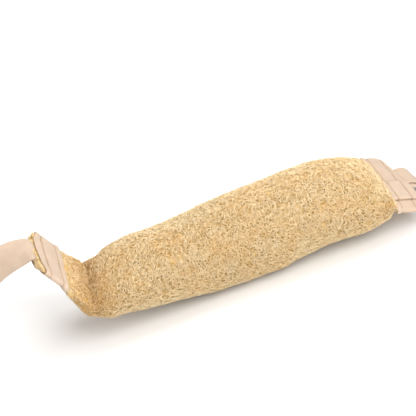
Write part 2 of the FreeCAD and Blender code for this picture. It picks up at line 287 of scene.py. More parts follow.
def section(centre, across, up, half_width, half_height, squareness=2.0):
    """A row of numbers for one cross-section: centre, two directions, half sizes and how square it is."""
    return np.concatenate([centre, across, up, [half_width, half_height, squareness]])


def tilted(end, degrees):
    """The upward direction of a section part of the way round the crease."""
    angle = math.radians(degrees)
    return math.cos(angle) * UP - math.sin(angle) * end["level"]


def pointing_back(direction):
    """The direction or its opposite, whichever points to +Y."""
    return direction if direction[1] > 0 else -direction


def end_sections(side):
    """Section rows from a flattened end's tip to the body."""
    end = ENDS[side]
    bend = math.degrees(math.asin(end["outward"][2]))
    tip, neck, wide = end["tip"], end["neck"], end["half_width"]
    # Along the end from the crease: place, half width and half height.
    if side == "left":
        flat = [(tip, wide - 0.4, 2.1), (tip - 2, wide, 2.3), (neck + 4, wide, 2.4), (neck - 2, 31.6, 3.4),
                (20, 30.2, 5.2), (9, 32, 7.2)]
        # Over the crease: how far out from it, how far above it, tilt, half width and half height.
        folds = [(0.5, -0.1, 30, 34.5, 10), (-7, -0.8, 9, 35.3, 14.4), (-14, -1.8, 0, 36.3, 18.0)]
    else:
        flat = [(tip, wide - 0.4, 2.1), (tip - 2, wide, 2.3), (neck + 4, wide, 2.5), (neck + 0.5, 37.0, 4.2)]
        folds = [(10, -4.6, bend * 0.9, 36.6, 8.2), (8.8, -4.9, bend * 0.6, 36.6, 13),
                 (7, -5.0, bend * 0.2, 36.9, 18.4), (-3, -2.4, 0, 37.6, 25.2)]
    far, level_far = pointing_back(end["across"]), pointing_back(end["level_across"])
    rows = []
    for along, width, height in flat:
        place = end["crease"] + along * end["outward"]
        rows.append(section(place, far, end["upward"], width, height, END_SQUARENESS))
    for out, above, tilt, width, height in folds:
        place = end["crease"] + out * end["level"] + above * UP
        rows.append(section(place, level_far, tilted(end, tilt), width, height, FOLD_SQUARENESS))
    return rows


def gourd_rings():
    """Even rings of section rows from the left tip to the right tip."""
    tree = BVHTree.FromObject(frame["nodes"]["loofah_wall"], bpy.context.evaluated_depsgraph_get())
    body = [wall_section(tree, x) for x in np.arange(-96, 117, 12.0)]
    rows = np.array(end_sections("left") + body + end_sections("right")[::-1])
    marks = [rows[:, :3] + sign * rows[:, 6:9] * rows[:, 10:11] for sign in (1, 0, -1)]
    steps = np.max([np.linalg.norm(np.diff(mark, axis=0), axis=1) for mark in marks], axis=0)
    places = np.concatenate([[0], np.cumsum(steps)])
    rings = smooth_through(places, rows, np.linspace(0, places[-1], int(places[-1] / RING_SPACING) + 1))
    rings[:, 3:6] = unit(rings[:, 3:6])
    rings[:, 6:9] = unit(rings[:, 6:9])
    return rings


def ring_points(rings, shrink_width=0.0, shrink_height=0.0):
    """Points round each ring, which may be drawn smaller."""
    angle = np.linspace(0, 2 * np.pi, RING_POINTS, endpoint=False)
    power = 2 / rings[:, 11:12]
    wide = squared(np.cos(angle), power) * (rings[:, 9:10] - shrink_width)
    high = squared(np.sin(angle), power) * (rings[:, 10:11] - shrink_height)
    return rings[:, None, :3] + wide[..., None] * rings[:, None, 3:6] + high[..., None] * rings[:, None, 6:9]


def surface_normals(points):
    """Outward unit normals of a closed grid of rings."""
    along = np.gradient(points, axis=0)
    around = np.roll(points, -1, axis=1) - np.roll(points, 1, axis=1)
    normals = np.cross(around, along)
    length = np.linalg.norm(normals, axis=-1, keepdims=True)
    normals = normals / np.maximum(length, 1e-9)
    centres = points.mean(axis=1, keepdims=True)
    facing = np.sign(np.sum(normals * (points - centres), axis=-1).mean())
    return normals * facing


def lumps(points, scale, seed):
    """Smooth noise between about -1 and 1 at each point, with features of a size in millimetres."""
    shift = Vector((seed * 7.3, seed * 3.1, seed * 5.7))
    flat = points.reshape(-1, 3)
    values = [noise.noise(Vector(point) / scale + shift) for point in flat]
    return np.array(values).reshape(points.shape[:-1])


# How much each end's tip is pulled out of line, by place from its near corner to its far one.
TIP_PULL = {
    "left": ((-1.0, 0.0), (-0.52, 0.37), (-0.2, 0.56), (0.1, 0.78), (0.38, 1.0), (0.74, 0.95), (1.0, 0.0)),
    "right": ((-1.0, 0.05), (-0.4, 0.12), (0.0, 0.25), (0.4, 0.55), (0.75, 0.9), (1.0, 1.0)),
}
# How far from the neck the pull starts, and how far down and out it moves the tip.
TIP_PULL_START = {"left": 10, "right": 8}
TIP_DROOP = {"left": 4.3, "right": 5.0}
TIP_REACH = {"left": 2.9, "right": -3.2}
# How far the left end's near corner is squeezed in and raised, from just before its neck on.
NEAR_SQUEEZE = 5.5
NEAR_RISE = 1.9
NEAR_START = -6
NEAR_RUN = 10


def pulled(points, side):
    """Points of an end with its tip pulled down and out."""
    end = ENDS[side]
    offset = points - end["crease"]
    along = offset @ end["outward"]
    start = end["neck"] + TIP_PULL_START[side]
    near_tip = np.clip((along - start) / (end["tip"] - start), 0, 1.2) ** 2
    inward = pointing_back(end["across"])
    far = offset @ inward / end["half_width"]
    share = near_tip * np.interp(far, *zip(*TIP_PULL[side]))
    moved = points + share[..., None] * (TIP_REACH[side] * end["outward"] - TIP_DROOP[side] * end["upward"])
    if side == "left":
        on_band = np.clip((along - end["neck"] - NEAR_START) / NEAR_RUN, 0, 1)
        near = on_band * np.clip(-far, 0, 1) ** 2
        moved = moved + near[..., None] * (NEAR_SQUEEZE * inward + NEAR_RISE * end["upward"])
    return moved


class Gourd:
    """The gourd's outer surface as a grid of points, for laying skin and fibres on."""

    def __init__(self):
        self.rings = gourd_rings()
        points = ring_points(self.rings)
        normals = surface_normals(points)
        fullness = np.clip((self.rings[:, 10:11] - 4) / 16, 0.05, 1)
        relief = 0.8 * lumps(points, 34, 1) + 0.6 * lumps(points, 14, 2)
        points = points + normals * (relief * fullness)[..., None]
        for _ in range(RING_SMOOTHINGS):
            points[1:-1] = (points[:-2] + 2 * points[1:-1] + points[2:]) / 4
        points[..., 2] = np.maximum(points[..., 2], REST_GAP + 0.4)
        self.points = points
        self.normals = surface_normals(points)
        self.ring_step = np.maximum(np.linalg.norm(np.gradient(points, axis=0), axis=-1), 0.3)
        around = (np.roll(points, -1, axis=1) - np.roll(points, 1, axis=1)) / 2
        self.column_step = np.maximum(np.linalg.norm(around, axis=-1), 0.1)
        self.pores = self.scattered(PORES)

    def random_places(self, count, weight=1.0):
        """Grid places spread evenly over the surface, or thinned by a weight."""
        area = self.ring_step * self.column_step * weight
        picked = random.choice(area.size, count, p=area.ravel() / area.sum())
        return picked // RING_POINTS + random.random(count), picked % RING_POINTS + random.random(count)

    def scattered(self, count):
        """A search tree of points spread evenly over the surface."""
        places, _ = self.at(*self.random_places(count))
        tree = KDTree(count)
        for index, place in enumerate(places):
            tree.insert(place, index)
        tree.balance()
        return tree

    def from_pores(self, points):
        """The nearest pore to each point, and how far off it is."""
        found = [self.pores.find(point) for point in points.reshape(-1, 3)]
        places = np.array([place for place, _, _ in found]).reshape(points.shape)
        return places, np.array([distance for _, _, distance in found]).reshape(points.shape[:-1])

    def at(self, ring, column):
        """Points and normals at fractional places on the grid."""
        ring = np.clip(ring, 0, len(self.points) - 1.001)
        low, left = np.floor(ring).astype(int), np.floor(column).astype(int)
        up, right = (ring - low)[..., None], (column - left)[..., None]
        left, beside = left % RING_POINTS, (left + 1) % RING_POINTS
        found = []
        for grid in (self.points, self.normals):
            near = grid[low, left] * (1 - right) + grid[low, beside] * right
            far = grid[low + 1, left] * (1 - right) + grid[low + 1, beside] * right
            found.append(near * (1 - up) + far * up)
        return found[0], unit(found[1])


# Materials -------------------------------------------------


def feed(tree, socket, value):
    """Links an input to a socket, or sets it to any other value."""
    if isinstance(value, bpy.types.NodeSocket):
        tree.links.new(value, socket)
    else:
        socket.default_value = value


def add(tree, kind, settings=None, **inputs):
    """A node with its settings and inputs."""
    node = tree.nodes.new(kind)
    for key, value in (settings or {}).items():
        setattr(node, key, value)
    for key, value in inputs.items():
        feed(tree, node.inputs[key.replace("_", " ")], value)
    return node


def mixed(tree, share, first, second, blend="MIX"):
    """The colour that two colours mix to."""
    node = add(tree, "ShaderNodeMix", {"data_type": "RGBA", "blend_type": blend})
    for index, value in ((0, share), (6, first), (7, second)):
        feed(tree, node.inputs[index], value)
    return node.outputs[2]


def ramped(tree, value, stops):
    """A value turned into a colour by stops of place and colour."""
    node = add(tree, "ShaderNodeValToRGB", Fac=value)
    elements = node.color_ramp.elements
    while len(elements) < len(stops):
        elements.new(0.5)
    for element, (place, colour) in zip(elements, stops):
        element.position = place
        element.color = (*colour, 1)
    return node.outputs["Color"]


def mapped(tree, value, low, high, to_low, to_high):
    """A value moved from one range to another."""
    ends = {"From_Min": low, "From_Max": high, "To_Min": to_low, "To_Max": to_high}
    return add(tree, "ShaderNodeMapRange", Value=value, **ends).outputs["Result"]


def new_material(name, roughness, sheen=0.0):
    """A material, its node tree, its shader and the piece's own coordinates in millimetres."""
    material = bpy.data.materials.new(name)
    material.use_nodes = True
    tree = material.node_tree
    shader = tree.nodes["Principled BSDF"]
    shader.inputs["Roughness"].default_value = roughness
    shader.inputs["Specular IOR Level"].default_value = 0.25
    shader.inputs["Sheen Weight"].default_value = sheen
    coordinates = add(tree, "ShaderNodeTexCoord").outputs["Object"]
    place = add(tree, "ShaderNodeVectorMath", {"operation": "SCALE"}, Vector=coordinates, Scale=1 / MM)
    return material, tree, shader, place.outputs["Vector"]


def spots(tree, place, size, detail=2.0):
    """Smooth noise with features of about a size in millimetres."""
    return add(tree, "ShaderNodeTexNoise", Vector=place, Scale=1 / size, Detail=detail).outputs["Fac"]


def named(tree, attribute, output="Fac"):
    """What a piece's own attribute says."""
    return add(tree, "ShaderNodeAttribute", {"attribute_name": attribute}).outputs[output]


def bumped(tree, shader, height, distance, strength=1.0):
    """Relief on the shader, of a depth in millimetres."""
    bump = add(tree, "ShaderNodeBump", Height=height, Distance=distance * MM, Strength=strength)
    tree.links.new(bump.outputs["Normal"], shader.inputs["Normal"])


STRAW = (0.90, 0.69, 0.40)
PALE_STRAW = (0.97, 0.83, 0.57)
OCHRE = (0.69, 0.47, 0.21)
GOLD = (0.88, 0.57, 0.22)
# The brown of the painted crease shade.
CREASE_SHADE_BROWN = (0.56, 0.30, 0.08)


def luffa_material(name, dark, middle, light):
    """Dry luffa fibre: straw to ochre by strand, with painted shade on the deeper nets and in the pores, more
    golden in patches, and with painted brown shade at the creases.
    """
    material, tree, shader, place = new_material(name, 0.72)
    # The tone by strand, which also carries painted shade: darker for the deeper nets and in the pores.
    tone = ramped(tree, named(tree, "strand_tone_and_painted_shade"), [(0.0, dark), (0.45, middle), (1.0, light)])
    patches = mapped(tree, spots(tree, place, 26), 0.42, 0.72, 0.0, 0.3)
    colour = mixed(tree, patches, tone, (*GOLD, 1))
    flecks = mapped(tree, spots(tree, place, 1.6), 0.35, 0.75, 0.9, 1.05)
    colour = mixed(tree, 1.0, colour, flecks, "MULTIPLY")
    # Painted brown shade at the creases.
    colour = mixed(tree, named(tree, "crease_painted_shade"), colour, (*CREASE_SHADE_BROWN, 1))
    tree.links.new(colour, shader.inputs["Base Color"])
    tree.links.new(mapped(tree, spots(tree, place, 0.5), 0.3, 0.7, 0.6, 0.85), shader.inputs["Roughness"])
    bumped(tree, shader, spots(tree, place, 0.22, 3.0), 0.12)
    return material


def webbing_material():
    """Cotton tape in a plain weave, a little uneven in colour and brushed soft, with painted shade in the
    weave's hollows and along the stitch rows.
    """
    material, tree, shader, place = new_material("cotton_webbing", 0.85, sheen=0.15)
    cloth = named(tree, "weave_place", "Vector")
    threads = add(tree, "ShaderNodeVectorMath", {"operation": "MULTIPLY"}, Vector=cloth)
    threads.inputs[1].default_value = (1 / WARP_PITCH, 1 / WEFT_PITCH, 0)
    split = add(tree, "ShaderNodeSeparateXYZ", Vector=threads.outputs["Vector"])
    rounded = []
    for axis in ("X", "Y"):
        turned = add(tree, "ShaderNodeMath", {"operation": "MULTIPLY"}, Value=split.outputs[axis])
        turned.inputs[1].default_value = math.pi
        wave = add(tree, "ShaderNodeMath", {"operation": "SINE"}, Value=turned.outputs[0])
        ridge = add(tree, "ShaderNodeMath", {"operation": "ABSOLUTE"}, Value=wave.outputs[0])
        rounded.append(ridge.outputs[0])
    over = add(tree, "ShaderNodeTexChecker", Vector=threads.outputs["Vector"], Scale=1.0).outputs["Fac"]
    height = mixed(tree, over, rounded[0], rounded[1])
    fuzz = spots(tree, place, 0.35, 3.0)
    colour = ramped(tree, spots(tree, place, 9), [(0.3, (0.62, 0.46, 0.335)), (0.7, (0.67, 0.51, 0.38))])
    # Painted shade: the weave's hollows are darker and its ridges lighter.
    colour = mixed(tree, 1.0, colour, mapped(tree, height, 0.0, 1.0, 0.88, 1.04), "MULTIPLY")
    colour = mixed(tree, 1.0, colour, mapped(tree, fuzz, 0.3, 0.7, 0.95, 1.03), "MULTIPLY")
    # Painted shade along the stitch rows.
    colour = mixed(tree, named(tree, "stitch_painted_shade"), colour, (0.36, 0.22, 0.13, 1))
    tree.links.new(colour, shader.inputs["Base Color"])
    tree.links.new(mapped(tree, fuzz, 0.3, 0.7, 0.75, 0.95), shader.inputs["Roughness"])
    bumped(tree, shader, height, 0.25, 0.8)
    return material


def thread_material():
    """Sewing thread with its plies, darker than the webbing as painted shade of the grooves it sinks into."""
    material, tree, shader, place = new_material("cotton_thread", 0.7, sheen=0.1)
    plies = add(tree, "ShaderNodeTexWave", {"bands_direction": "DIAGONAL"}, Vector=place, Scale=0.6)
    colour = ramped(tree, plies.outputs["Fac"], [(0.2, (0.46, 0.29, 0.17)), (0.8, (0.62, 0.43, 0.28))])
    tree.links.new(colour, shader.inputs["Base Color"])
    bumped(tree, shader, plies.outputs["Fac"], 0.1)
    return material


def floor_material():
    """A plain matt white sweep, very slightly mottled."""
    material, tree, shader, place = new_material("studio_floor", 0.9)
    colour = ramped(tree, spots(tree, place, 60), [(0.3, (0.93, 0.93, 0.93)), (0.7, (0.95, 0.95, 0.95))])
    tree.links.new(colour, shader.inputs["Base Color"])
    return material


# The gourd -------------------------------------------------


# A reach before and after each crease, for each side.
BEND_REACH = {"left": (6, 14), "right": (9, 8)}


def bend_with(piece, side):
    """Bakes a piece's placement into its points."""
    end = ENDS[side]
    middle = unit(end["level"] + end["outward"])
    before, after = BEND_REACH[side]
    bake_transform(piece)


# Where each end gets painted brown crease shade: how far along it from the crease, how far above it, how far
# the shade reaches and how deep it is.
CREASE_SHADES = {"left": (5.0, 6.0, 19.0, 0.55), "right": (8.0, 6.0, 8.0, 0.3)}


def crease_painted_shade(points):
    """How much painted brown shade the folded and squeezed places get, from 0 to 1."""
    crease_shade = np.zeros(points.shape[:-1])
    for side, (along, above, reach, depth) in CREASE_SHADES.items():
        end = ENDS[side]
        offset = points - (end["crease"] + along * end["outward"] + above * end["upward"])
        distance = np.linalg.norm(offset - (offset @ end["across"])[..., None] * end["across"], axis=-1)
        crease_shade = np.maximum(crease_shade, depth * np.exp(-(distance / reach) ** 2))
    return crease_shade


def skin(gourd, side, material):
    """Half of the gourd's wall: a pitted outer skin and a rough inner one, joined at both ends; the outer
    skin has painted shade that darkens towards each pore.
    """
    middle = int(np.argmin(np.abs(gourd.points[:, :, 0].mean(axis=1))))
    part = slice(0, middle + 1) if side == "left" else slice(middle, None)
    rings = gourd.rings[part]
    outer, normals = gourd.points[part], gourd.normals[part]
    _, pore_distance = gourd.from_pores(outer)
    fullness = np.clip(rings[:, 10:11] / 12, 0.3, 1)
    pits = 0.5 * lumps(outer, 3.2, 3) + 0.3 * lumps(outer, 1.7, 4)
    outer = outer + normals * ((pits - SKIN_DEPTH) * fullness)[..., None]
    depth = np.minimum(WALL, rings[:, 10:11] - SLOT_HALF_HEIGHT)
    flat = np.clip((9 - rings[:, 10:11]) / 4, 0, 1)
    narrow = depth + flat * (rings[:, 9:10] - depth - SLOT_HALF_WIDTH[side])
    inner = ring_points(rings, narrow, depth)
    inner = inner + (flat * ENDS[side]["strap_offset"])[..., None] * rings[:, None, 3:6]
    inner = inner + (0.3 * lumps(inner, 4.0, 5) * (1 - flat))[..., None] * normals
    # Painted shade: the outer skin is darkest in the middle of each pore.
    pore_shaded_tone = np.clip(pore_distance / (2 * PORE_RADIUS), 0, 1)
    inner_tone = np.full(pore_shaded_tone.shape, 0.5)
    order = 1 if side == "left" else -1
    tone = np.concatenate([pore_shaded_tone[::order], inner_tone])
    shell = pulled(np.concatenate([outer[::order], inner[::-order]]), side)
    shell[..., 2] = np.maximum(shell[..., 2], REST_GAP)
    count = len(shell)
    faces = grid_faces(count, RING_POINTS)
    closing = grid_faces(2, RING_POINTS)
    last = (count - 1) * RING_POINTS
    closing = np.where(closing >= RING_POINTS, closing - RING_POINTS, closing + last)
    points = shell.reshape(-1, 3)
    faces = np.concatenate([faces, closing])
    piece = make_piece(f"loofah_skin_{side}", points, [faces], material)
    face_outward(piece)
    add_attribute(piece, "strand_tone_and_painted_shade", tone.ravel())
    add_attribute(piece, "crease_painted_shade", crease_painted_shade(points))
    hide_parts(f"{side}_loofah_end")
    bend_with(piece, side)


def face_outward(piece):
    """Turns a closed mesh's faces outward."""
    mesh = piece.data
    points = mesh_points(mesh)
    mesh.calc_loop_triangles()
    corners = np.zeros(len(mesh.loop_triangles) * 3, np.int32)
    mesh.loop_triangles.foreach_get("vertices", corners)
    a, b, c = (points[corners.reshape(-1, 3)[:, k]] for k in range(3))
    if np.sum(np.einsum("ij,ij->i", a, np.cross(b, c))) < 0:
        mesh.flip_normals()


def tubes(name, lines, normals, radius, taper, sides, turn, material):
    """Closed tubes along rows of points, as one piece, and the piece's points."""
    count, points, _ = lines.shape
    tangents = unit(np.gradient(lines, axis=1))
    beside = unit(np.cross(tangents, normals))
    above = np.cross(beside, tangents)
    angles = turn + 2 * np.pi * np.arange(sides) / sides
    thick = (np.asarray(radius).reshape(-1, 1) * taper)[..., None, None]
    spokes = np.cos(angles)[:, None] * beside[:, :, None] + np.sin(angles)[:, None] * above[:, :, None]
    rings = lines[:, :, None] + thick * spokes
    rings[..., 2] = np.maximum(rings[..., 2], FLOOR_GAP)
    first = (np.arange(count) * points * sides)[:, None, None]
    quads = (grid_faces(points, sides)[None] + first).reshape(-1, 4)
    cap = np.arange(sides)
    caps = (np.stack([cap[::-1], cap + (points - 1) * sides])[None] + first).reshape(-1, sides)
    flat = rings.reshape(-1, 3)
    piece = make_piece(name, flat, [quads, caps], material)
    face_outward(piece)
    return piece, flat


def strands(name, lines, normals, radius, tones, material):
    """Three-sided fibres along rows of points, thinning at their ends."""
    sides, points = 3, lines.shape[1]
    taper = np.ones(points)
    taper[[0, -1]] = 0.4
    taper[[1, -2]] = 0.85
    piece, flat = tubes(name, lines, normals, radius, taper, sides, np.pi / 2, material)
    add_attribute(piece, "strand_tone_and_painted_shade", np.repeat(tones, points * sides))
    add_attribute(piece, "crease_painted_shade", crease_painted_shade(flat))
    return piece


def wander(gourd, count, points, step, curl, lean):
    """Curling random lines over the gourd, as grid places. Lean is the share that lies round it."""
    ring, column = gourd.random_places(count, bare_rings(gourd)[:, None])
    heading = random.uniform(0, 2 * np.pi, count)
    around = random.random(count) < lean
    heading = np.where(around, np.pi / 2 + random.normal(0, 0.5, count) + np.pi * (heading > np.pi), heading)
    turn = random.normal(0, curl, count)
    rings, columns = [ring], [column]
    for _ in range(points - 1):
        low = np.clip(ring.astype(int), 0, len(gourd.points) - 1)
        beside = np.floor(column).astype(int) % RING_POINTS
        ring = ring + step * np.cos(heading) / gourd.ring_step[low, beside]
        column = column + step * np.sin(heading) / gourd.column_step[low, beside]
        heading = heading + turn + random.normal(0, curl, count)
        rings.append(ring)
        columns.append(column)
    return np.stack(rings, 1), np.stack(columns, 1)


def bare_rings(gourd):
    """1 for each ring that no band covers, and 0 for the others."""
    centres = gourd.rings[:, :3]
    bare = np.ones(len(centres))
    for side in SIDES:
        end = ENDS[side]
        along = (centres - end["crease"]) @ end["outward"]
        beyond = (centres - end["crease"]) @ end["level"] > 0
        bare[(along > end["neck"] + 1.5) & beyond] = 0
    return bare


def by_side(name, lines, normals, thick, tones, material):
    """The strands as one piece for each half of the gourd, told apart by where their middles are."""
    places = lines[:, (lines.shape[1] - 1) // 2, 0]
    for side, chosen in (("left", places < 0), ("right", places >= 0)):
        moved = pulled(lines[chosen], side)
        yield side, strands(f"{name}_{side}", moved, normals[chosen], thick[chosen], tones[chosen], material)


# Name, how many strands, step, curl, lean, radius, lift, weave and tone of each net, from the deepest out.
# The deeper nets have darker tones: painted shade.
FIBRE_NETS = [
    ("deep", 9000, 1.5, 0.25, 0.3, 0.34, -0.75, 0.25, 0.40),
    ("middle", 12000, 1.3, 0.3, 0.45, 0.36, -0.25, 0.25, 0.55),
    ("surface", 11000, 1.2, 0.35, 0.5, 0.33, 0.2, 0.3, 0.65),
]


def fibre_net(gourd, material, name, count, step, curl, lean, radius, lift, weave, tone):
    """A net of strands at a depth in the gourd's surface, in one piece for each half of the gourd."""
    ring, column = wander(gourd, count, STRAND_POINTS, step, curl, lean)
    limits = np.flatnonzero(bare_rings(gourd))
    ring = np.clip(ring, limits[0] - 2, limits[-1] + 2)
    places, normals = gourd.at(ring, column)
    pores, distance = gourd.from_pores(places)
    away = (places - pores) / np.maximum(distance, 0.05)[..., None]
    places = places + np.maximum(PORE_RADIUS - distance, 0)[..., None] * PORE_PUSH * away
    phase = random.uniform(0, 2 * np.pi, (count, 1))
    pace = random.uniform(0.6, 1.3, (count, 1))
    height = lift + weave * np.sin(phase + pace * np.arange(STRAND_POINTS))
    height[:, [0, -1]] -= 0.5
    lines = places + normals * height[..., None]
    # Each net's tone, darker for the deeper nets as painted shade.
    tones = np.clip(random.normal(tone, TONE_SPREAD, count), 0, 1)
    thick = radius * random.uniform(0.7, 1.25, count)
    for side, piece in by_side(f"fibre_net_{name}", lines, normals, thick, tones, material):
        bend_with(piece, side)
        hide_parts("loofah_wall")


def stray_fibres(gourd, material):
    """Short loose ends that stand off the surface and make its outline fuzzy."""
    count = STRAY_FIBRES
    ring, column = wander(gourd, count, 4, 0.8, 0.5, 0.5)
    places, normals = gourd.at(ring, column)
    reach = random.uniform(0.5, 1.7, (count, 1))
    height = -0.3 + reach * np.array([0.0, 0.45, 0.85, 1.0])
    lines = places + normals * height[..., None]
    tones = np.clip(random.normal(0.7, 0.2, count), 0, 1)
    thick = random.uniform(0.11, 0.2, count)
    for side, piece in by_side("stray_fibres", lines, normals, thick, tones, material):
        bend_with(piece, side)


def raw_edge(gourd, side, material):
    """The frayed fibre ends that poke out past the band, longest in a tuft at the left end."""
    end = ENDS[side]
    count = RAW_FIBRES
    tip = gourd.rings[0] if side == "left" else gourd.rings[-1]
    angle = random.uniform(0, 2 * np.pi, count)
    depth = random.uniform(0.3, 1.0, count)
    wide = squared(np.cos(angle), 0.7) * tip[9] * (0.55 + 0.45 * depth)
    high = np.sin(angle) * tip[10] * depth
    in_slot = np.abs(wide - end["strap_offset"]) < SLOT_HALF_WIDTH[side]
    high = np.where(in_slot, np.sign(high) * np.maximum(np.abs(high), SLOT_HALF_HEIGHT + 0.4), high)
    base = tip[:3] + wide[:, None] * tip[3:6] + high[:, None] * tip[6:9]
    lean = random.normal(0, 0.3, (count, 3))
    reach = random.uniform(0.2, 1.0, count)
    if side == "left":
        tuft = np.exp(-(((wide - TUFT_PLACE) / TUFT_SPREAD) ** 2))
        reach = reach + random.random(count) * TUFT_REACH * tuft
    share = np.linspace(-1.2, 1, 5)[None, :, None]
    away = unit(end["outward"] + lean)
    bow = random.normal(0, 0.3, (count, 3))
    lines = base[:, None] + share * (reach[:, None] * away)[:, None] + share**2 * bow[:, None] * 0.5
    lines = pulled(lines, side)
    tones = np.clip(random.normal(0.4, 0.25, count), 0, 1)
    normals = np.repeat(unit(end["upward"] + 0.1 * end["across"])[None, None], count, 0).repeat(5, 1)
    piece = strands(f"raw_edge_{side}", lines, normals, random.uniform(0.18, 0.34, count), tones, material)
    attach(piece, f"{side}_end")


def core(material):
    """The coarse fibre core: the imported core's own form, meshed finely and roughened."""
    source = frame["nodes"]["loofah_core"]
    piece = linked("loofah_core_web", source.data.copy())
    remesh = piece.modifiers.new("fine", "REMESH")
    remesh.mode = "VOXEL"
    remesh.voxel_size = CORE_VOXEL * MM
    evaluated = piece.evaluated_get(bpy.context.evaluated_depsgraph_get())
    mesh = bpy.data.meshes.new_from_object(evaluated)
    piece.modifiers.clear()
    piece.data = mesh
    points = mesh_points(mesh)
    normals = np.array([vertex.normal for vertex in mesh.vertices])
    points = points + normals * (0.5 * lumps(points, 3.0, 6) - 0.5)[:, None]
    set_points(mesh, points)
    mesh.polygons.foreach_set("use_smooth", np.ones(len(mesh.polygons), bool))
    mesh.materials.clear()
    mesh.materials.append(material)
    add_attribute(piece, "strand_tone_and_painted_shade", 0.5 + 0.5 * np.sin(points[:, 0] * 1.3))
    add_attribute(piece, "crease_painted_shade", np.zeros(len(points)))
    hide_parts("loofah_core")
    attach(piece, "loofah")


# The webbing -----------------------------------------------


def webbing(name, centres, across, normals, half_width, thickness, relief, shade, material):
    """A closed strip of webbing along a line, lifted by relief and darkened by painted shade, and its length.
    """
    selvedge = 0.7
    spread = np.linspace(-half_width, half_width, 51)
    spread = np.concatenate([spread[:1], [0.25 - half_width], spread[1:-1], [half_width - 0.25], spread[-1:]])
    inset = np.clip((np.abs(spread) - (half_width - selvedge)) / selvedge, 0, 1)
    body = thickness / 2 * np.sqrt(1 - 0.86 * inset**2)
    along = lengths_along(centres)
    lift = relief(along[:, None], spread[None, :])
    darkness = shade(along[:, None], spread[None, :])
    cloth = centres[:, None] + spread[None, :, None] * across[:, None]
    front, back = (cloth + (lift + face * body[None, :])[..., None] * normals[:, None] for face in (1, -1))
    section_points = np.concatenate([front, back[:, ::-1]], axis=1)
    section_points[..., 2] = np.maximum(section_points[..., 2], FLOOR_GAP)
    rows, columns = section_points.shape[:2]
    faces = grid_faces(rows, columns)
    half = columns // 2
    left = np.arange(half - 1)
    cap = np.stack([left, left + 1, columns - 2 - left, columns - 1 - left], -1)
    ends = np.concatenate([cap[:, ::-1], cap + (rows - 1) * columns])
    flat = section_points.reshape(-1, 3)
    piece = make_piece(name, flat, [np.concatenate([faces, ends])], material)
    face_outward(piece)
    place = np.zeros((rows, columns, 3))
    place[..., 0] = np.concatenate([spread, spread[::-1]])
    place[..., 1] = along[:, None]
    add_attribute(piece, "weave_place", place.reshape(-1, 3))
    add_attribute(piece, "stitch_painted_shade", np.concatenate([darkness, darkness[:, ::-1]], axis=1).ravel())
    return piece, along[-1]


def band_outline(side):
    """The band's centre line round the end: on from its start, once round, and over its start to a fold."""
    end = ENDS[side]
    half = BAND_THICKNESS / 2
    wide, high = end["band_half_width"] - half, end["band_half_height"] - BAND_EASE - half
    near = -1 if end["across"][1] > 0 else 1
    face = 1 if side == "right" else -1
    angle = np.linspace(0, 4 * np.pi, 2400)
    power = 2 / END_SQUARENESS
    y = squared(np.cos(angle), power) * wide
    z = squared(np.sin(angle), power) * high
    line = np.stack([y, z], 1)
    along = lengths_along(line)
    girth = along[len(along) // 2]
    fold_place = np.interp(-(wide - FOLD_INSET[side]), -y[:600], along[:600])
    walked = np.linspace(0, FOLD_OVERLAP + girth, 420)
    turns = (fold_place + FOLD_OVERLAP - walked) % girth
    path = np.stack([np.interp(turns, along, y), np.interp(turns, along, z)], 1)
    climb = np.clip((walked - (girth - LAP_CLIMB)) / LAP_CLIMB, 0, 1)
    lift = (climb * climb * (3 - 2 * climb)) * LAP_LIFT
    tangent = np.gradient(path, axis=0)
    outward = unit(np.stack([tangent[:, 1], -tangent[:, 0]], 1))
    outward *= np.sign(np.sum(outward * path, axis=1))[:, None]
    path = path + outward * lift[:, None]
    heading = unit(path[-1] - path[-3])
    inward = -outward[-1]
    angles = np.linspace(0, np.pi, 9)[1:]
    round_fold = np.sin(angles)[:, None] * heading + (1 - np.cos(angles))[:, None] * inward
    fold = path[-1] + FOLD_RADIUS * round_fold
    steps = np.linspace(0, 1, 12)[1:, None]
    under = fold[-1] - heading * TURNED_UNDER * steps
    outline = np.concatenate([path, fold, under])
    return outline * (near, face)


def pucker(side, along, across, half_width):
    """How the stitches pull the webbing down along two rows, and how its inner hem stands up."""
    lift = 0.12 * np.sin(along / 7.3 + 1) + 0.1 * np.sin(along / 3.1 + across / 5)
    depth = GROOVE_DEPTH + GROOVE_RIPPLE * np.cos(2 * np.pi * along / STITCH_PITCH)
    for inset in STITCH_ROWS[side].values():
        row = inset - half_width
        lift = lift - depth * np.exp(-(((across - row) / GROOVE_WIDTH) ** 2))
    hem = (across + half_width - HEM_PLACE) / HEM_WIDTH
    return lift + HEM_LIFT * np.exp(-hem * hem)


def stitch_row_painted_shade(side, along, across, half_width):
    """How much painted shade darkens the webbing where the stitches sink into it."""
    shade = np.zeros(np.broadcast(along, across).shape)
    for inset in STITCH_ROWS[side].values():
        sunk = np.exp(-(((across - inset + half_width) / GROOVE_SHADE_WIDTH) ** 2))
        shade = np.maximum(shade, sunk * (0.34 + 0.22 * np.sin(along / 5.3 + inset)))
    return shade


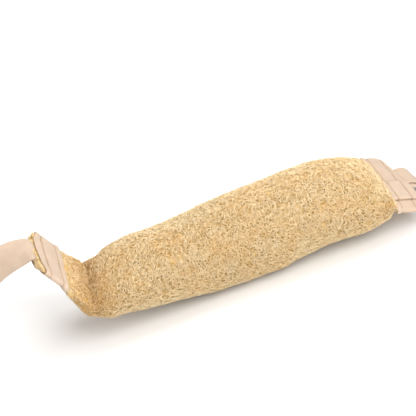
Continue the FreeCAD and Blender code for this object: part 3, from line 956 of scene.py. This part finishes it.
def band(side, material):
    """The webbing wrapped round a flattened end, folded under and lapped over its own start."""
    end = ENDS[side]
    outline = band_outline(side)
    outline = even_spline(np.column_stack([outline, np.zeros(len(outline))]), 0.55)
    tangent = unit(np.gradient(outline, axis=0))
    facing = np.cross((0, 0, 1), tangent)
    if np.sum(facing[50] * outline[50]) < 0:
        facing = -facing
    middle = end["crease"] + (end["neck"] + end["band_width"] / 2) * end["outward"]
    axes = np.column_stack([end["across"], end["upward"], end["outward"]])
    centres, normals = middle + outline @ axes.T, facing @ axes.T
    half_width = end["band_width"] / 2
    across = np.repeat(end["outward"][None], len(centres), 0)
    piece, length = webbing(
        f"{side}_band_webbing", centres, across, normals, half_width, BAND_THICKNESS,
        lambda along, over: pucker(side, along, over, half_width),
        lambda along, over: stitch_row_painted_shade(side, along, over, half_width), material,
    )
    set_points(piece.data, pulled(mesh_points(piece.data), side))
    piece.data.update()
    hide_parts(f"{side}_band")
    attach(piece, f"{side}_end")
    return centres, normals


def interpolated(samples, along, values):
    """Rows of three numbers at places along a line, from its own rows."""
    return np.stack([np.interp(samples, along, values[:, k]) for k in range(3)], -1)


def stitches(side, row, line, material):
    """A row of lockstitch that follows the band round both faces of the end."""
    end = ENDS[side]
    centres, normals = line
    shift = STITCH_ROWS[side][row] - end["band_width"] / 2
    along = lengths_along(centres)
    places = np.arange(FOLD_OVERLAP + 2, along[-1] - TURNED_UNDER - 3, STITCH_PITCH)
    flatness = np.abs(interpolated(places, along, normals) @ end["upward"])
    places = places[flatness > 0.9]
    share = np.linspace(-1, 1, 9)
    samples = places[:, None] + share * STITCH_LENGTH / 2
    height = BAND_THICKNESS / 2 - THREAD_SINK - 0.9 * share**4
    spine, outward = interpolated(samples, along, centres), interpolated(samples, along, normals)
    lines = spine + shift * end["outward"] + height[..., None] * outward
    lines = pulled(lines, side)
    taper = np.sqrt(np.clip(1 - np.linspace(-0.97, 0.97, len(share)) ** 4, 0, 1))
    name = f"{side}_{row}_thread"
    piece, _ = tubes(name, lines, outward, THREAD_RADIUS, taper, 6, 0, material)
    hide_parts(f"{side}_{row}_stitching")
    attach(piece, f"{side}_end")


# Each strap's doubled stretch and the loop it opens into: out from the end, height, and twist in degrees.
DOUBLED = {
    "left": [
        (5.5, 89.4, 10), (12.5, 89.2, 22), (21, 87.9, 36), (29.2, 85.4, 48), (36.8, 81.7, 50),
        (43.6, 77.0, 45), (49.6, 71.3, 36), (54.7, 65.0, 27),
    ],
    "right": [
        (0, 21.4, 0), (4.4, 20.2, 0), (7.7, 17.4, 0), (10, 12.8, 0), (12.4, 7.4, 0), (15.4, 3.2, 0),
        (20, 1.7, 0), (28, 1.6, 0), (40, 1.6, 0), (54, 1.6, 0), (66, 1.7, 0),
    ],
}
LOOP = {
    "left": [
        (62.8, 57, 17), (70.5, 45.4, 9), (80.5, 35.6, 3), (93, 31.4, 0), (110, 30.9, 0), (134, 30.6, 0),
        (144.6, 26.4, 0), (149, 15.8, 0), (144.6, 5.3, 0), (134, 0.8, 0), (112, 0.7, 0), (100, 2.2, 0),
        (88.5, 9.6, 2), (78.5, 26, 5), (69.5, 41.6, 9), (61.4, 55.8, 17),
    ],
    "right": [
        (78, 5.2, 0), (89, 10.4, 0), (101, 17.8, 0), (113, 25.0, 0), (124, 29.4, 0), (136, 31, 0),
        (149, 31, 0), (161.7, 30.6, 0), (172.2, 26.3, 0), (176.6, 15.8, 0), (172.2, 5.3, 0), (161.7, 0.8, 0),
        (142, 0.7, 0), (122, 0.7, 0), (102, 0.7, 0), (85, 0.7, 0), (74, 0.7, 0),
    ],
}
# Where each strap's line starts inside the end, measured from its tip.
STRAP_STARTS = (-25.0, -16.0, -8.0, -2.0)
# How far each leg of a strap lies to its own side of the middle.
SPLAY = {"left": 0.0, "right": 2.4}


def ribbon_frame(end, behind, stop, ahead, turned=1):
    """The across and outward-facing directions of webbing at a stop of its route, twisted."""
    near = -pointing_back(end["level_across"])
    heading = unit(np.subtract(ahead[:2], behind[:2]))
    along = heading[0] * end["level"] + heading[1] * UP
    over = np.cross(near, along) * np.sign(np.cross(near, end["level"])[2])
    twist = math.radians(stop[2]) * turned
    return math.cos(twist) * near - math.sin(twist) * over, math.cos(twist) * over + math.sin(twist) * near


def strap_stops(side, half_width):
    """The strap's line, as place and across direction: out by its upper leg, round the loop and back."""
    end = ENDS[side]
    doubled, loop = DOUBLED[side], LOOP[side]
    near = -pointing_back(end["across"])
    seam = end["crease"] - end["strap_offset"] * near
    legs = {1: [], -1: []}
    for inside in STRAP_STARTS:
        for leg, stops in legs.items():
            spot = seam + (end["tip"] + inside) * end["outward"] + leg * LEG_HALF_GAP * end["upward"]
            spot = spot - leg * SPLAY[side] * near
            edges = np.array([spot + half_width * near, spot - half_width * near])
            edges = pulled(edges, side)
            stops.append(np.concatenate([edges.mean(axis=0), unit(edges[0] - edges[1])]))

    def place(stop):
        return end["root"] * (1, 1, 0) + stop[0] * end["level"] + stop[1] * UP

    for index, stop in enumerate(doubled):
        behind, ahead = doubled[max(index - 1, 0)], doubled[min(index + 1, len(doubled) - 1)]
        across, over = ribbon_frame(end, behind, stop, ahead)
        for leg, stops in legs.items():
            aside = LEG_HALF_GAP * over - SPLAY[side] * near
            stops.append(np.concatenate([place(stop) + leg * aside, across]))
    route = doubled[-1:] + loop + doubled[-1:]
    rounding = []
    for index, (behind, stop, ahead) in enumerate(zip(route, route[1:], route[2:])):
        across, _ = ribbon_frame(end, behind, stop, ahead, 1 if index < len(loop) / 2 else -1)
        aside = SPLAY[side] * (1 - 2 * index / (len(loop) - 1))
        rounding.append(np.concatenate([place(stop) - aside * near, across]))
    return np.array(legs[1] + rounding + legs[-1][::-1])


def strap(side, material):
    """The hand loop: one length of webbing, its two tails sewn into the end."""
    end = ENDS[side]
    half_width = np.ptp(mesh_points(frame["nodes"][f"{side}_strap_tails"].data) @ end["across"]) / 2
    line = even_spline(strap_stops(side, half_width), 1.1)
    tangents = unit(np.gradient(line[:, :3], axis=0))
    across = line[:, 3:6]
    across = unit(across - np.sum(across * tangents, axis=1)[:, None] * tangents)
    piece, length = webbing(
        f"{side}_strap_webbing", line[:, :3], across, np.cross(tangents, across), half_width, STRAP_THICKNESS,
        lambda along, over: 0.05 * np.sin(along / 11.0 + over / 6.0), lambda along, over: 0 * along * over,
        material,
    )
    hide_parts(f"{side}_strap_tails", f"{side}_strap_loop")
    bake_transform(piece)
    print(f"{side} strap: {length:.0f} mm of webbing")


# The studio ------------------------------------------------


def area_light(name, place, target, size, power):
    """A soft square light aimed at a point, in metres and watts."""
    data = bpy.data.lights.new(name, "AREA")
    data.shape = "SQUARE"
    data.size = size
    data.energy = power
    light = linked(name, data)
    light.location = place
    light.rotation_euler = (Vector(target) - Vector(place)).to_track_quat("-Z", "Y").to_euler()


def studio():
    """A white floor, soft light from above and in front, and the camera."""
    mesh = bpy.data.meshes.new("floor")
    reach = 40.0
    corners = [(-reach, -reach, 0), (reach, -reach, 0), (reach, reach, 0), (-reach, reach, 0)]
    mesh.from_pydata(corners, [], [(0, 1, 2, 3)])
    mesh.materials.append(floor_material())
    floor = linked("floor", mesh)

    world = bpy.data.worlds.new("studio")
    world.use_nodes = True
    world.node_tree.nodes["Background"].inputs["Color"].default_value = (1, 1, 1, 1)
    world.node_tree.nodes["Background"].inputs["Strength"].default_value = 0.66
    bpy.context.scene.world = world
    middle = (0, 0, 0.03)
    area_light("key", (0.3, -0.9, 1.0), middle, 0.9, 14.5)
    area_light("top", (0.3, 0.2, 1.25), middle, 0.9, 8)

    right = unit((0.9297, -0.2835, -0.2350))
    up = np.array((0.3542, 0.5144, 0.7810))
    up = unit(up - up @ right * right)
    back = np.cross(right, up)
    aim, distance, seen = np.array((-4.7, 16.5, 61.3)) * MM, 12.0, 0.341
    camera = bpy.data.cameras.new("camera")
    camera.lens = camera.sensor_width * distance / seen
    camera.clip_end = 60
    holder = linked("camera", camera)
    axes, place = np.column_stack([right, up, back]), aim + distance * back
    holder.matrix_world = Matrix([(*axes[row], place[row]) for row in range(3)] + [(0, 0, 0, 1)])
    bpy.context.scene.camera = holder
    bpy.context.scene.view_settings.view_transform = "Standard"


def build():
    """Every visible piece of the scrubber."""
    fibre = luffa_material("luffa_fibre", OCHRE, STRAW, PALE_STRAW)
    # The skin under the fibres and the core get a dark palette: painted shade for the gaps between the
    # fibres.
    under = luffa_material("luffa_skin_painted_shade", (0.29, 0.165, 0.04), (0.47, 0.30, 0.105), (0.68, 0.48, 0.225))
    cotton = webbing_material()
    thread = thread_material()
    gourd = Gourd()
    for side in SIDES:
        skin(gourd, side, under)
    for net in FIBRE_NETS:
        fibre_net(gourd, fibre, *net)
    stray_fibres(gourd, fibre)
    core(under)
    for side in SIDES:
        raw_edge(gourd, side, fibre)
        line = band(side, cotton)
        for row in STITCH_ROWS[side]:
            stitches(side, row, line, thread)
        strap(side, cotton)
    studio()


build()
